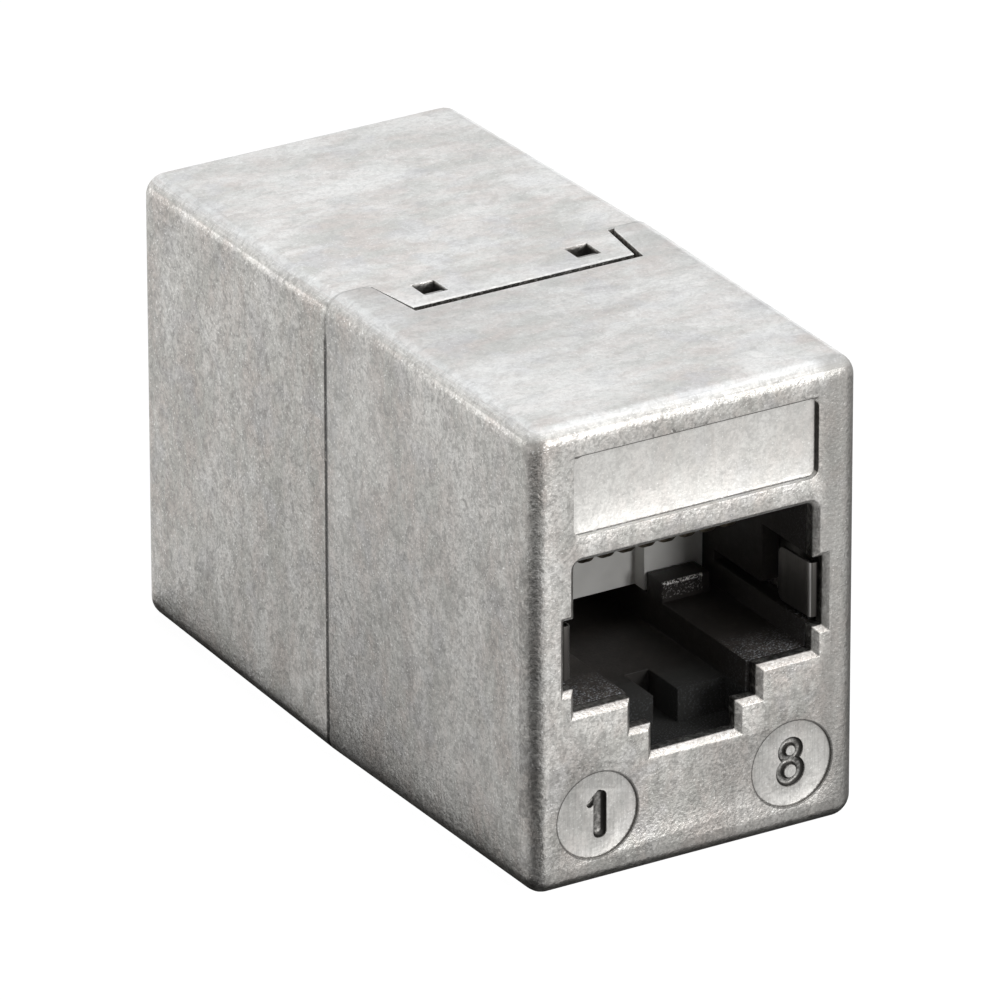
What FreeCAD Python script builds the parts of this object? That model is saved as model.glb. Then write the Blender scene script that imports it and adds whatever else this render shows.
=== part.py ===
# Shielded inline coupler for eight-pole modular plugs, millimetres.
# Frame: X to the right seen from the front face, Y to the rear, Z up,
# origin under the middle of the housing, on the surface that it stands on.
import FreeCAD, Part
import math
import os
import Sketcher

doc = FreeCAD.newDocument("inline_coupler")

SIZES = {
    # Die-cast housing, two halves that meet at the seam
    "body_length": 33.6,
    "seam_setback": 0.2,
    "front_draft": 0.30,
    "rear_draft": 0.80,
    "long_edge_radius": 1.0,
    "face_edge_radius": 0.85,
    "side_wall": 1.3,
    "floor_wall": 1.5,
    "roof_wall": 1.6,
    "face_wall": 0.75,
    "roof_step": 0.1,
    # Plug opening, seen from the front
    "port_width": 11.9,
    "port_height": 6.97,
    "port_corner": 0.3,
    "latch_width": 6.3,
    "latch_drop": 1.42,
    "lever_width": 4.2,
    "lever_drop": 1.33,
    "spring_slot_reach": 0.5,
    "spring_slot_rise": 1.1,
    "spring_slot_height": 3.25,
    "opening_chamfer": 0.26,
    # Shallow recesses in the front face
    "plate_width": 12.15,
    "plate_height": 3.7,
    "plate_inset": 3.45,
    "plate_depth": 0.3,
    "plate_corner": 0.45,
    "disc_diameter": 4.0,
    "disc_spacing": 9.75,
    "disc_centre": 3.38,
    "disc_depth": 0.14,
    # Snap joint: tongues of the rear half over ledges of the front half
    "tongue_shoulder": 2.3,
    "tongue_taper": 0.4,
    "tongue_length": 3.2,
    "tongue_thickness": 0.8,
    "tongue_seat": 0.05,
    "tongue_side_gap": 0.15,
    "tongue_tip_gap": 0.15,
    "shoulder_radius": 0.55,
    "window_width": 1.15,
    "window_length": 1.25,
    "window_spacing": 7.7,
    "window_setback": 1.35,
    "lug_clearance": 0.06,
    "lug_crest": 0.35,
    "lug_height": 0.7,
    # Ribs inside the housing that hold the jacks and the board
    "rib_width": 1.0,
    "rib_height": 2.85,
    "rib_spacing": 9.6,
    "hold_down_width": 0.9,
    "hold_down_spacing": 11.0,
    "seat_gap": 0.05,
    # Moulded jack body
    "jack_wall": 0.9,
    "jack_fit": 0.1,
    "jack_middle_gap": 0.1,
    "channel_width": 6.0,
    "channel_depth": 3.0,
    "channel_floor": 1.0,
    "channel_length": 11.6,
    "tray_setback": 1.65,
    "tray_notch_width": 1.2,
    "tray_notch_length": 2.4,
    "roof_bridge": 1.7,
    "window_depth": 3.5,
    "slot_depth": 3.9,
    "slot_height": 0.5,
    "stop_length": 1.3,
    "stop_width": 2.4,
    "stop_height": 0.95,
    # Contact carrier
    "carrier_fit": 0.08,
    "carrier_setback": 8.15,
    "carrier_recess_width": 5.8,
    "carrier_recess_depth": 0.8,
    "carrier_recess_height": 5.2,
    "arm_width": 8.5,
    "arm_rise": 0.48,
    "arm_thickness": 1.7,
    "groove_side_gap": 0.06,
    "groove_head_gap": 0.1,
    # Spring contacts
    "contact_pitch": 1.016,
    "contact_width": 0.35,
    "contact_thickness": 0.3,
    "contact_groove_gap": 0.05,
    "nose_gap": 0.25,
    "nose_drop": 2.2,
    "nose_radius": 0.9,
    "tail_radius": 0.4,
    "tip_gap": 0.4,
    "tip_drop": 1.15,
    "tail_row": 10.4,
    "tail_row_step": 2.5,
    "tail_projection": 0.6,
    # Circuit board
    "board_side_gap": 0.65,
    "board_end_gap": 1.8,
    "board_thickness": 1.2,
    "board_headroom": 1.45,
    "board_corner": 0.8,
    "tail_hole_diameter": 0.8,
    # Shield springs, folded strip between jack and housing
    "strip_thickness": 0.15,
    "strip_height": 2.55,
    "strip_front": 0.5,
    "strip_bend_radius": 0.11,
    "strip_gap": 0.02,
    "strip_inward_step": 0.12,
    "strip_inner_length": 2.3,
    "strip_end_gap": 0.2,
    "strip_corner": 0.4,
}

sheet = doc.addObject("Spreadsheet::Sheet", "dims")
for row, (alias, size) in enumerate(SIZES.items(), start=1):
    sheet.set("A%d" % row, alias)
    sheet.set("B%d" % row, str(size))
    sheet.setAlias("B%d" % row, alias)
doc.recompute()


def dims(formula):
    """A formula in which each size name is looked up in the sheet."""
    words = []
    for word in formula.split():
        bare = word.strip("()-")
        words.append(word.replace(bare, "dims." + bare) if bare in SIZES else word)
    return " ".join(words)


def new_body(label):
    body = doc.addObject("PartDesign::Body", label)
    body.Label = label
    return body


def sketch_on(body, plane, label, lift="0"):
    """A sketch on an origin plane of its own body, lifted along the plane's normal."""
    sketch = body.newObject("Sketcher::SketchObject", body.Label + "_" + label)
    for feature in body.Origin.OriginFeatures:
        if feature.Role == plane + "_Plane":
            sketch.AttachmentSupport = [(feature, "")]
    sketch.MapMode = "FlatFace"
    sketch.setExpression("AttachmentOffset.Base.z", dims(lift))
    return sketch


def pin_point(sketch, geometry, point, across, up):
    """Ties one point of the sketch to its two distances from the origin."""
    for kind, size in (("DistanceX", across), ("DistanceY", up)):
        index = sketch.addConstraint(Sketcher.Constraint(kind, -1, 1, geometry, point, 1.0))
        sketch.setExpression("Constraints[%d]" % index, dims(size))


def draw_outline(sketch, corners, closed=True):
    """Straight lines through the corners, each corner given as two formulas."""
    first = sketch.GeometryCount
    spread = [FreeCAD.Vector(math.cos(turn), math.sin(turn), 0)
              for turn in (2 * math.pi * step / (len(corners) + 1) for step in range(len(corners) + 1))]
    lines = len(corners) if closed else len(corners) - 1
    for step in range(lines):
        start = spread[step]
        end = spread[(step + 1) % len(corners)] if closed else spread[step + 1]
        sketch.addGeometry(Part.LineSegment(start, end))
    for step in range(1, lines):
        sketch.addConstraint(Sketcher.Constraint("Coincident", first + step - 1, 2, first + step, 1))
    if closed:
        sketch.addConstraint(Sketcher.Constraint("Coincident", first + lines - 1, 2, first, 1))
    for step, (across, up) in enumerate(corners[:lines]):
        pin_point(sketch, first + step, 1, across, up)
    if not closed:
        pin_point(sketch, first + lines - 1, 2, *corners[-1])


def draw_rectangle(sketch, left, right, bottom, top):
    draw_outline(sketch, [(left, bottom), (right, bottom), (right, top), (left, top)])


def draw_circle(sketch, across, up, diameter):
    circle = sketch.addGeometry(Part.Circle(FreeCAD.Vector(0, 0, 0), FreeCAD.Vector(0, 0, 1), 1.0))
    index = sketch.addConstraint(Sketcher.Constraint("Diameter", circle, 2.0))
    sketch.setExpression("Constraints[%d]" % index, dims(diameter))
    pin_point(sketch, circle, 3, across, up)


def round_corners(sketch, radii):
    """Tangent arcs in the corners at which the given lines end; the corners stay in place."""
    doc.recompute()
    for line, radius in radii.items():
        sketch.fillet(line, 2, SIZES[radius], True, True)
        arc = sketch.GeometryCount - 2
        index = sketch.addConstraint(Sketcher.Constraint("Radius", arc, SIZES[radius]))
        sketch.setExpression("Constraints[%d]" % index, dims(radius))


def extrude(body, kind, sketch, label, length, reverse=False, both_ways=False):
    """Pad or Pocket; a pad has to add to the solid and a pocket has to take from it."""
    before = body.Shape.Volume if body.Tip else 0.0
    feature = body.newObject("PartDesign::" + kind, body.Label + "_" + label)
    feature.Profile = sketch
    feature.setExpression("Length", dims(length))
    feature.Reversed = reverse
    feature.Midplane = both_ways
    doc.recompute()
    change = body.Shape.Volume - before
    if (kind == "Pad" and change <= 0) or (kind == "Pocket" and change >= 0):
        raise ValueError(feature.Label + " leaves the solid as it was")
    return feature


def finish_edges(body, kind, label, size, wanted):
    """Fillet or Chamfer on those edges of the body's last feature that the test picks out."""
    base = body.Tip
    edges = ["Edge%d" % number for number, edge in enumerate(base.Shape.Edges, 1) if wanted(edge)]
    feature = body.newObject("PartDesign::" + kind, body.Label + "_" + label)
    feature.Base = (base, edges)
    feature.setExpression("Radius" if kind == "Fillet" else "Size", dims(size))
    doc.recompute()


def origin_part(body, role):
    return next(feature for feature in body.Origin.OriginFeatures if feature.Role == role)


def mirror_left_right(body, label, features):
    mirrored = body.newObject("PartDesign::Mirrored", body.Label + "_" + label)
    mirrored.Originals = features
    mirrored.MirrorPlane = (origin_part(body, "YZ_Plane"), [""])
    body.Tip = mirrored
    doc.recompute()


def repeat_across(body, label, feature, pitch, count):
    """Equal steps to the right, as many as the contacts need."""
    pattern = body.newObject("PartDesign::LinearPattern", body.Label + "_" + label)
    pattern.Originals = [feature]
    pattern.Direction = (origin_part(body, "X_Axis"), [""])
    pattern.setExpression("Length", dims("%d * ( %s )" % (count - 1, pitch)))
    pattern.Occurrences = count
    body.Tip = pattern
    doc.recompute()


def on_face(edge):
    """True for an edge that lies in the outer face of the front half as it is built."""
    return edge.BoundBox.YMax < SIZES["seat_gap"] - SIZES["body_length"] / 2


def stands_upright(edge):
    """True for an edge that runs only up and down."""
    box = edge.BoundBox
    return box.ZLength > 10 * (box.XLength + box.YLength)


# Places that several pieces share, in the frame of the front half, worked out
# from the plug opening outwards and from the underside upwards.
# The rear pieces are built the same way and then turned half round the Z axis.
HALF_LENGTH = "body_length / 2"
JACK_HALF_WIDTH = "port_width / 2 + jack_wall"
CAVITY_HALF_WIDTH = JACK_HALF_WIDTH + " + jack_fit"
SHELL_HALF_WIDTH = CAVITY_HALF_WIDTH + " + side_wall"
JACK_BOTTOM = "floor_wall + rib_height + seat_gap"
CHANNEL_BOTTOM = JACK_BOTTOM + " + channel_floor"
PORT_FLOOR = CHANNEL_BOTTOM + " + channel_depth"
PORT_TOP = PORT_FLOOR + " + port_height"
SLOT_BOTTOM = PORT_FLOOR + " + spring_slot_rise"
SLOT_TOP = SLOT_BOTTOM + " + spring_slot_height"
ARM_BOTTOM = PORT_TOP + " + arm_rise"
ARM_TOP = ARM_BOTTOM + " + arm_thickness"
JACK_TOP = ARM_TOP + " + seat_gap"
BOARD_BOTTOM = JACK_TOP + " + seat_gap"
BOARD_TOP = BOARD_BOTTOM + " + board_thickness"
CAVITY_TOP = BOARD_TOP + " + board_headroom"
SHELL_TOP = CAVITY_TOP + " + roof_wall"
REAR_TOP = SHELL_TOP + " - roof_step"
LEDGE_DEPTH = "tongue_thickness + tongue_seat"
ROOF_LEDGE_DEPTH = LEDGE_DEPTH + " + roof_step"
JACK_FRONT = "body_length / 2 - face_wall - seat_gap"
CARRIER_FRONT = JACK_FRONT + " - carrier_setback"
CONTACT_RUN = ARM_BOTTOM + " + contact_groove_gap + contact_thickness / 2"
GROOVE_WIDTH = "contact_width + 2 * groove_side_gap"
CONTACTS = range(1, 9)
HALF_TURN = FreeCAD.Placement(FreeCAD.Vector(), FreeCAD.Rotation(FreeCAD.Vector(0, 0, 1), 180))


def contact_place(number):
    """How far across a contact stands; 1 is on the left, seen from the front."""
    return "( %d - 4.5 ) * contact_pitch" % number


def tail_row(number):
    """The tails stand in two rows, odd numbers nearer the face."""
    row = "tail_row - ( %s )" % JACK_FRONT
    return row if number % 2 else row + " + tail_row_step"


def two_sided(right_corners):
    """A symmetric outline, from the corners on its right side, bottom to top."""
    left_corners = [("-1 * ( %s )" % across, up) for across, up in reversed(right_corners)]
    return right_corners + left_corners


def make_shell(label, seam, draft, top):
    """Half of the housing: drafted cast box, open at the seam, with a plug opening."""
    body = new_body(label)
    outer = sketch_on(body, "XZ", "outer", "-1 * ( %s )" % seam)
    draw_rectangle(outer, "-1 * ( %s )" % SHELL_HALF_WIDTH, SHELL_HALF_WIDTH,
                   "0 * floor_wall", top)
    length = HALF_LENGTH + " + ( %s )" % seam
    block = extrude(body, "Pad", outer, "block", length)
    block.setExpression("TaperAngle", dims("-1 * " + draft))
    doc.recompute()
    finish_edges(body, "Fillet", "long_edges", "long_edge_radius",
                 lambda edge: edge.BoundBox.YLength > SIZES["body_length"] / 4)
    finish_edges(body, "Fillet", "face_edges", "face_edge_radius", on_face)

    cavity = sketch_on(body, "XZ", "cavity", "-1 * ( %s )" % seam)
    draw_rectangle(cavity, "-1 * ( %s )" % CAVITY_HALF_WIDTH, CAVITY_HALF_WIDTH,
                   "floor_wall", CAVITY_TOP)
    extrude(body, "Pocket", cavity, "hollow", length + " - face_wall", reverse=True)

    ribs = sketch_on(body, "XZ", "ribs", "-1 * ( %s )" % seam)
    for spacing, width, bottom, top in (
            ("rib_spacing", "rib_width", "floor_wall", "floor_wall + rib_height"),
            ("hold_down_spacing", "hold_down_width", BOARD_TOP + " + seat_gap", CAVITY_TOP)):
        for side in ("1", "-1"):
            middle = side + " * %s / 2" % spacing
            draw_rectangle(ribs, middle + " - %s / 2" % width, middle + " + %s / 2" % width,
                           bottom, top)
    extrude(body, "Pad", ribs, "rib_pad", length + " - face_wall")

    opening = sketch_on(body, "XZ", "opening", HALF_LENGTH)
    latch_bottom = PORT_FLOOR + " - latch_drop"
    lever_bottom = latch_bottom + " - lever_drop"
    slot_side = "port_width / 2 + spring_slot_reach"
    right_side = [
        ("lever_width / 2", lever_bottom),
        ("lever_width / 2", latch_bottom),
        ("latch_width / 2", latch_bottom),
        ("latch_width / 2", PORT_FLOOR),
        ("port_width / 2", PORT_FLOOR),
        ("port_width / 2", SLOT_BOTTOM),
        (slot_side, SLOT_BOTTOM),
        (slot_side, SLOT_TOP),
        ("port_width / 2", SLOT_TOP),
        ("port_width / 2", PORT_TOP),
    ]
    draw_outline(opening, two_sided(right_side))
    roof_line = len(right_side) - 1
    round_corners(opening, dict.fromkeys((roof_line - 1, roof_line), "port_corner"))
    extrude(body, "Pocket", opening, "plug_opening", "2 * face_wall")
    rim = opening.Shape.BoundBox
    rim.enlarge(SIZES["seat_gap"])
    finish_edges(body, "Chamfer", "opening_edges", "opening_chamfer",
                 lambda edge: on_face(edge) and rim.isInside(edge.BoundBox))
    return body


def add_face_recesses(body):
    """Shallow plate and two discs sunk in the front face."""
    plate = sketch_on(body, "XZ", "plate", HALF_LENGTH)
    middle = SHELL_TOP + " - plate_inset"
    draw_rectangle(plate, "-1 * plate_width / 2", "plate_width / 2",
                   middle + " - plate_height / 2", middle + " + plate_height / 2")
    round_corners(plate, dict.fromkeys(range(4), "plate_corner"))
    extrude(body, "Pocket", plate, "plate_recess", "plate_depth")
    discs = sketch_on(body, "XZ", "discs", HALF_LENGTH)
    for side in ("1", "-1"):
        draw_circle(discs, side + " * disc_spacing / 2", "disc_centre", "disc_diameter")
    extrude(body, "Pocket", discs, "disc_recess", "disc_depth")


def tongue_outline(sketch, seam, direction, length, side_gap):
    """Trapezoid that starts at the seam and narrows away from it."""
    tip = "%s + %s * ( %s )" % (seam, direction, length)
    root_side = "%s - tongue_shoulder + %s" % (SHELL_HALF_WIDTH, side_gap)
    draw_outline(sketch, two_sided([(root_side, seam), (root_side + " - tongue_taper", tip)]))


def add_snap_ledges(body, seam):
    """Notches for the tongues in the roof and the floor, with two wedge lugs in each."""
    window_middle = "%s - window_setback" % seam
    lug_front = window_middle + " - window_length / 2 + lug_clearance"
    lug_back = window_middle + " + window_length / 2 - lug_clearance"
    sides = (("roof", SHELL_TOP, "-1", ROOF_LEDGE_DEPTH), ("floor", "0 * floor_wall", "1", LEDGE_DEPTH))
    for label, level, inward, depth in sides:
        notch = sketch_on(body, "XY", label + "_notch", level)
        tongue_outline(notch, seam, "-1", "tongue_length + tongue_tip_gap", "tongue_side_gap")
        extrude(body, "Pocket", notch, label + "_ledge", depth, reverse=inward == "1")
    finish_edges(body, "Fillet", "shoulders", "shoulder_radius",
                 lambda edge: edge.BoundBox.YMin > SIZES["seam_setback"] - SIZES["tongue_seat"]
                 and stands_upright(edge) and edge.Length < 1.5 * SIZES["tongue_thickness"])
    lugs = []
    for label, level, inward, depth in sides:
        ledge = "%s + %s * ( %s )" % (level, inward, depth)
        crest = "%s - %s * lug_height" % (ledge, inward)
        wedge = sketch_on(body, "YZ", label + "_wedge", "window_spacing / 2")
        draw_outline(wedge, [(lug_back, ledge), (lug_front, ledge), (lug_front, crest),
                             (lug_front + " + lug_crest", crest)])
        lugs.append(extrude(body, "Pad", wedge, label + "_lug",
                            "window_width - 2 * lug_clearance", both_ways=True))
    mirror_left_right(body, "left_lugs", lugs)


def add_snap_tongues(body, seam):
    """Tongues in line with the roof and the floor, each with two windows."""
    for label, level, inward in (("roof", REAR_TOP, "-1"), ("floor", "0 * floor_wall", "1")):
        tongue = sketch_on(body, "XY", label + "_tongue", level)
        tongue_outline(tongue, seam, "1", "tongue_length", "0 * tongue_side_gap")
        extrude(body, "Pad", tongue, label + "_tongue_pad", "tongue_thickness", reverse=inward == "-1")
    windows = sketch_on(body, "XY", "windows", SHELL_TOP)
    middle = "%s + window_setback" % seam
    for side in ("1", "-1"):
        across = side + " * window_spacing / 2"
        draw_rectangle(windows, across + " - window_width / 2", across + " + window_width / 2",
                       middle + " - window_length / 2", middle + " + window_length / 2")
    extrude(body, "Pocket", windows, "window_cut", SHELL_TOP)


def make_jack_body(label):
    """Moulded housing of one jack: plug cavity, latch channel, roof channel, side windows."""
    body = new_body(label)
    length = JACK_FRONT + " - jack_middle_gap"
    outer = sketch_on(body, "XZ", "outer", JACK_FRONT)
    draw_rectangle(outer, "-1 * ( %s )" % JACK_HALF_WIDTH, JACK_HALF_WIDTH, JACK_BOTTOM, JACK_TOP)
    extrude(body, "Pad", outer, "block", length, reverse=True)

    plug = sketch_on(body, "XZ", "plug", JACK_FRONT)
    draw_rectangle(plug, "-1 * port_width / 2", "port_width / 2", PORT_FLOOR, PORT_TOP)
    extrude(body, "Pocket", plug, "plug_cavity", length)

    tray_top = PORT_FLOOR + " - latch_drop"
    for part, width, bottom, top, depth in (
            ("latch_channel", "channel_width", tray_top, PORT_FLOOR, "channel_length"),
            ("lever_space", "channel_width", CHANNEL_BOTTOM, tray_top, "tray_setback"),
            ("tray_notch", "tray_notch_width", CHANNEL_BOTTOM, tray_top,
             "tray_setback + tray_notch_length")):
        hollow = sketch_on(body, "XZ", part + "_outline", JACK_FRONT)
        draw_rectangle(hollow, "-1 * %s / 2" % width, width + " / 2", bottom, top)
        extrude(body, "Pocket", hollow, part, depth)

    roof = sketch_on(body, "XY", "roof", JACK_TOP)
    draw_rectangle(roof, "-1 * ( arm_width / 2 + carrier_fit )", "arm_width / 2 + carrier_fit",
                   "roof_bridge - ( %s )" % JACK_FRONT, "-1 * jack_middle_gap")
    extrude(body, "Pocket", roof, "roof_channel", "%s - ( %s )" % (JACK_TOP, PORT_TOP))

    side = sketch_on(body, "YZ", "side")
    front = "-1 * ( %s )" % JACK_FRONT
    window_back = front + " + window_depth"
    draw_outline(side, [
        (front, SLOT_BOTTOM),
        (window_back + " + slot_depth", SLOT_BOTTOM),
        (window_back + " + slot_depth", SLOT_BOTTOM + " + slot_height"),
        (window_back, SLOT_BOTTOM + " + slot_height"),
        (window_back, SLOT_TOP),
        (front, SLOT_TOP),
    ])
    extrude(body, "Pocket", side, "side_windows", "2 * ( %s )" % SHELL_HALF_WIDTH, both_ways=True)

    stop = sketch_on(body, "XY", "stop", PORT_FLOOR)
    stop_back = "-1 * ( %s ) - seat_gap" % CARRIER_FRONT
    draw_rectangle(stop, "channel_width / 2", "channel_width / 2 + stop_width",
                   stop_back + " - stop_length", stop_back)
    stop_pad = extrude(body, "Pad", stop, "right_stop", "stop_height")
    mirror_left_right(body, "left_stop", [stop_pad])
    return body


def make_contact_carrier(label):
    """White insert that closes the plug cavity and holds the eight contacts in grooves."""
    body = new_body(label)
    base = PORT_FLOOR + " + carrier_fit"
    shoulder = PORT_TOP + " - carrier_fit"
    side = "port_width / 2 - carrier_fit"
    block = sketch_on(body, "XZ", "block", CARRIER_FRONT)
    draw_outline(block, two_sided([(side, base), (side, shoulder), ("arm_width / 2", shoulder),
                                   ("arm_width / 2", ARM_TOP)]))
    extrude(body, "Pad", block, "block_pad", CARRIER_FRONT + " - jack_middle_gap", reverse=True)

    arm = sketch_on(body, "XZ", "arm", CARRIER_FRONT)
    draw_rectangle(arm, "-1 * arm_width / 2", "arm_width / 2", ARM_BOTTOM, ARM_TOP)
    extrude(body, "Pad", arm, "arm_pad", "carrier_setback - roof_bridge - carrier_fit")

    recess = sketch_on(body, "XZ", "recess", CARRIER_FRONT)
    draw_rectangle(recess, "-1 * carrier_recess_width / 2", "carrier_recess_width / 2",
                   base, base + " + carrier_recess_height")
    extrude(body, "Pocket", recess, "nose_recess", "carrier_recess_depth")

    arm_front = JACK_FRONT + " - roof_bridge - carrier_fit"
    groove = sketch_on(body, "XZ", "groove", arm_front)
    half_groove = "( %s ) / 2" % GROOVE_WIDTH
    draw_rectangle(groove, contact_place(1) + " - " + half_groove, contact_place(1) + " + " + half_groove,
                   ARM_BOTTOM, ARM_BOTTOM + " + contact_groove_gap + contact_thickness + groove_head_gap")
    groove_length = "%s + ( %s ) + %s" % (arm_front, tail_row(2), half_groove)
    first_groove = extrude(body, "Pocket", groove, "first_groove", groove_length)
    repeat_across(body, "grooves", first_groove, "contact_pitch", len(CONTACTS))

    for number in CONTACTS[:2]:
        tail = sketch_on(body, "XY", "tail_%d" % number, ARM_TOP)
        draw_rectangle(tail, contact_place(number) + " - " + half_groove,
                       contact_place(number) + " + " + half_groove,
                       tail_row(number) + " - " + half_groove, tail_row(number) + " + " + half_groove)
        first_tail = extrude(body, "Pocket", tail, "first_tail_%d" % number,
                             "%s - ( %s )" % (ARM_TOP, ARM_BOTTOM))
        repeat_across(body, "tails_%d" % number, first_tail, "2 * contact_pitch", len(CONTACTS) // 2)
    return body


def make_contact(label, number):
    """Flat wire: tail in the board, run along the carrier, hairpin nose, free spring leg."""
    body = new_body(label)
    row = tail_row(number)
    tail_top = BOARD_TOP + " + tail_projection"
    nose = "roof_bridge + nose_gap - ( %s )" % JACK_FRONT
    nose_bottom = CONTACT_RUN + " - nose_drop"
    route = sketch_on(body, "YZ", "route", contact_place(number))
    draw_outline(route, [(row, tail_top), (row, CONTACT_RUN), (nose, CONTACT_RUN), (nose, nose_bottom),
                         ("-1 * ( %s ) - tip_gap" % CARRIER_FRONT, nose_bottom + " - tip_drop")],
                 closed=False)
    round_corners(route, {0: "tail_radius", 1: "nose_radius", 2: "nose_radius"})
    section = sketch_on(body, "XY", "section", tail_top)
    draw_rectangle(section, contact_place(number) + " - contact_width / 2",
                   contact_place(number) + " + contact_width / 2",
                   row + " - contact_thickness / 2", row + " + contact_thickness / 2")
    sweep_along(body, section, route)
    return body


def sweep_along(body, section, route):
    pipe = body.newObject("PartDesign::AdditivePipe", body.Label + "_sweep")
    pipe.Profile = section
    pipe.Spine = (route, [])
    doc.recompute()


def make_shield_spring(label, side):
    """Folded strip in a side slot: inner leaf meets the plug, outer leaf meets the housing."""
    body = new_body(label)
    inner = "port_width / 2 + strip_gap + strip_thickness / 2"
    outer = "port_width / 2 + spring_slot_reach - strip_gap - strip_thickness / 2"
    front = "strip_front - " + HALF_LENGTH
    straight = "face_wall - " + HALF_LENGTH
    outer_end = "window_depth - strip_end_gap - ( %s )" % JACK_FRONT
    route_corners = [(inner + " - strip_inward_step", front + " + strip_inner_length"),
                     (inner, straight), (inner, front), (outer, front), (outer, straight),
                     (CAVITY_HALF_WIDTH + " - strip_thickness", outer_end)]
    middle = "%s + spring_slot_height / 2" % SLOT_BOTTOM
    route = sketch_on(body, "XY", "route", middle)
    draw_outline(route, [("%s * ( %s )" % (side, across), up) for across, up in route_corners],
                 closed=False)
    round_corners(route, {1: "strip_bend_radius", 2: "strip_bend_radius"})
    leaf_end = "%s * ( %s )" % (side, route_corners[0][0])
    section = sketch_on(body, "XZ", "section", "-1 * ( %s )" % route_corners[0][1])
    draw_rectangle(section, leaf_end + " - strip_thickness / 2", leaf_end + " + strip_thickness / 2",
                   middle + " - strip_height / 2", middle + " + strip_height / 2")
    sweep_along(body, section, route)
    finish_edges(body, "Fillet", "leaf_corners", "strip_corner",
                 lambda edge: abs(edge.BoundBox.Center.x) < SIZES["port_width"] / 2
                 and edge.BoundBox.ZLength < 0.1 * SIZES["strip_thickness"]
                 and abs(edge.Length / SIZES["strip_thickness"] - 1) < 0.1)
    return body


def make_circuit_board(label):
    """Board above the jacks, with a plated hole for each contact tail of both jacks."""
    body = new_body(label)
    outline = sketch_on(body, "XY", "outline", BOARD_BOTTOM)
    half_width = CAVITY_HALF_WIDTH + " - board_side_gap"
    half_length = JACK_FRONT + " - board_end_gap"
    draw_rectangle(outline, "-1 * ( %s )" % half_width, half_width,
                   "-1 * ( %s )" % half_length, half_length)
    round_corners(outline, dict.fromkeys(range(4), "board_corner"))
    extrude(body, "Pad", outline, "sheet", "board_thickness")
    holes = sketch_on(body, "XY", "holes", BOARD_TOP)
    for number in CONTACTS:
        for turned in ("1", "-1"):
            draw_circle(holes, "%s * ( %s )" % (turned, contact_place(number)),
                        "%s * ( %s )" % (turned, tail_row(number)), "tail_hole_diameter")
    extrude(body, "Pocket", holes, "tail_holes", "board_thickness")
    return body


front_shell = make_shell("front_shell", "1 * seam_setback", "front_draft", SHELL_TOP)
add_face_recesses(front_shell)
add_snap_ledges(front_shell, "1 * seam_setback")

rear_shell = make_shell("rear_shell", "-1 * seam_setback", "rear_draft", REAR_TOP)
add_snap_tongues(rear_shell, "-1 * seam_setback")
rear_shell.Placement = HALF_TURN

for end in ("front", "rear"):
    pieces = [make_jack_body(end + "_jack_body"), make_contact_carrier(end + "_contact_carrier")]
    pieces += [make_contact("%s_contact_%d" % (end, number), number) for number in CONTACTS]
    sides = ("-1", "1") if end == "front" else ("1", "-1")
    pieces += [make_shield_spring("%s_%s_shield_spring" % (end, name), side)
               for name, side in zip(("left", "right"), sides)]
    if end == "rear":
        for piece in pieces:
            piece.Placement = HALF_TURN
make_circuit_board("circuit_board")
doc.recompute()

bodies = [item for item in doc.Objects if item.isDerivedFrom("PartDesign::Body")]
for item in doc.Objects:
    if "Invalid" in item.State or "Error" in item.State:
        raise ValueError(item.Label + " failed: " + ", ".join(item.State))
for body in bodies:
    if body.Shape.isNull() or not body.Shape.isValid() or len(body.Shape.Solids) != 1:
        raise ValueError(body.Label + " isn't one valid solid")

os.makedirs("parts", exist_ok=True)
for body in bodies:
    body.Shape.exportStep("parts/%s.step" % body.Label)
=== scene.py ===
# Shielded inline coupler for two network plugs: the finish of each piece, the light and the camera.
from math import radians

import bpy
from mathutils import Matrix, Vector


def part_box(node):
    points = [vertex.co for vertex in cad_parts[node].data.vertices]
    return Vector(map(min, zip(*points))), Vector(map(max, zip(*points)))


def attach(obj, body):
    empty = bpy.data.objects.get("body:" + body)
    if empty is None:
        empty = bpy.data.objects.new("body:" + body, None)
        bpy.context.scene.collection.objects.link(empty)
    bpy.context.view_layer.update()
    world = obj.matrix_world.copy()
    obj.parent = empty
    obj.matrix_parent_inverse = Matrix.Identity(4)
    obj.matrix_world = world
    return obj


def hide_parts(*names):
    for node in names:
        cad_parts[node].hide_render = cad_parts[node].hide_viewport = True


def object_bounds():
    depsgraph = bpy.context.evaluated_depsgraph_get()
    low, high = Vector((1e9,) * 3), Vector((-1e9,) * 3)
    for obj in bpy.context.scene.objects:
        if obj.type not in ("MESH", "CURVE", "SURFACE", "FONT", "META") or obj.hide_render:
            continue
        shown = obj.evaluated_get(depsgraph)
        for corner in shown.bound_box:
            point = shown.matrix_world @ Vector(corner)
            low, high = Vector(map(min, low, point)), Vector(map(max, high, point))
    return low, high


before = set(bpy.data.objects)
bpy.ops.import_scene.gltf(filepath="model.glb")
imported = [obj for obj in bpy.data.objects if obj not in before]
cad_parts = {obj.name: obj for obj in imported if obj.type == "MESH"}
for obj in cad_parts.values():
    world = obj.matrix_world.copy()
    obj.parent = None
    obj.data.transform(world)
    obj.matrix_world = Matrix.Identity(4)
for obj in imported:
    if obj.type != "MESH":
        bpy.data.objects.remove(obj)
cad_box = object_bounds()


# Front half of the housing. It is die-cast zinc, tumbled and left bare, with the plug opening,
# a shallow plate field over it and a numbered disc on each side below it, which give the
# order of the contacts. The numbers are cut into the discs.
MM = 0.001


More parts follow.
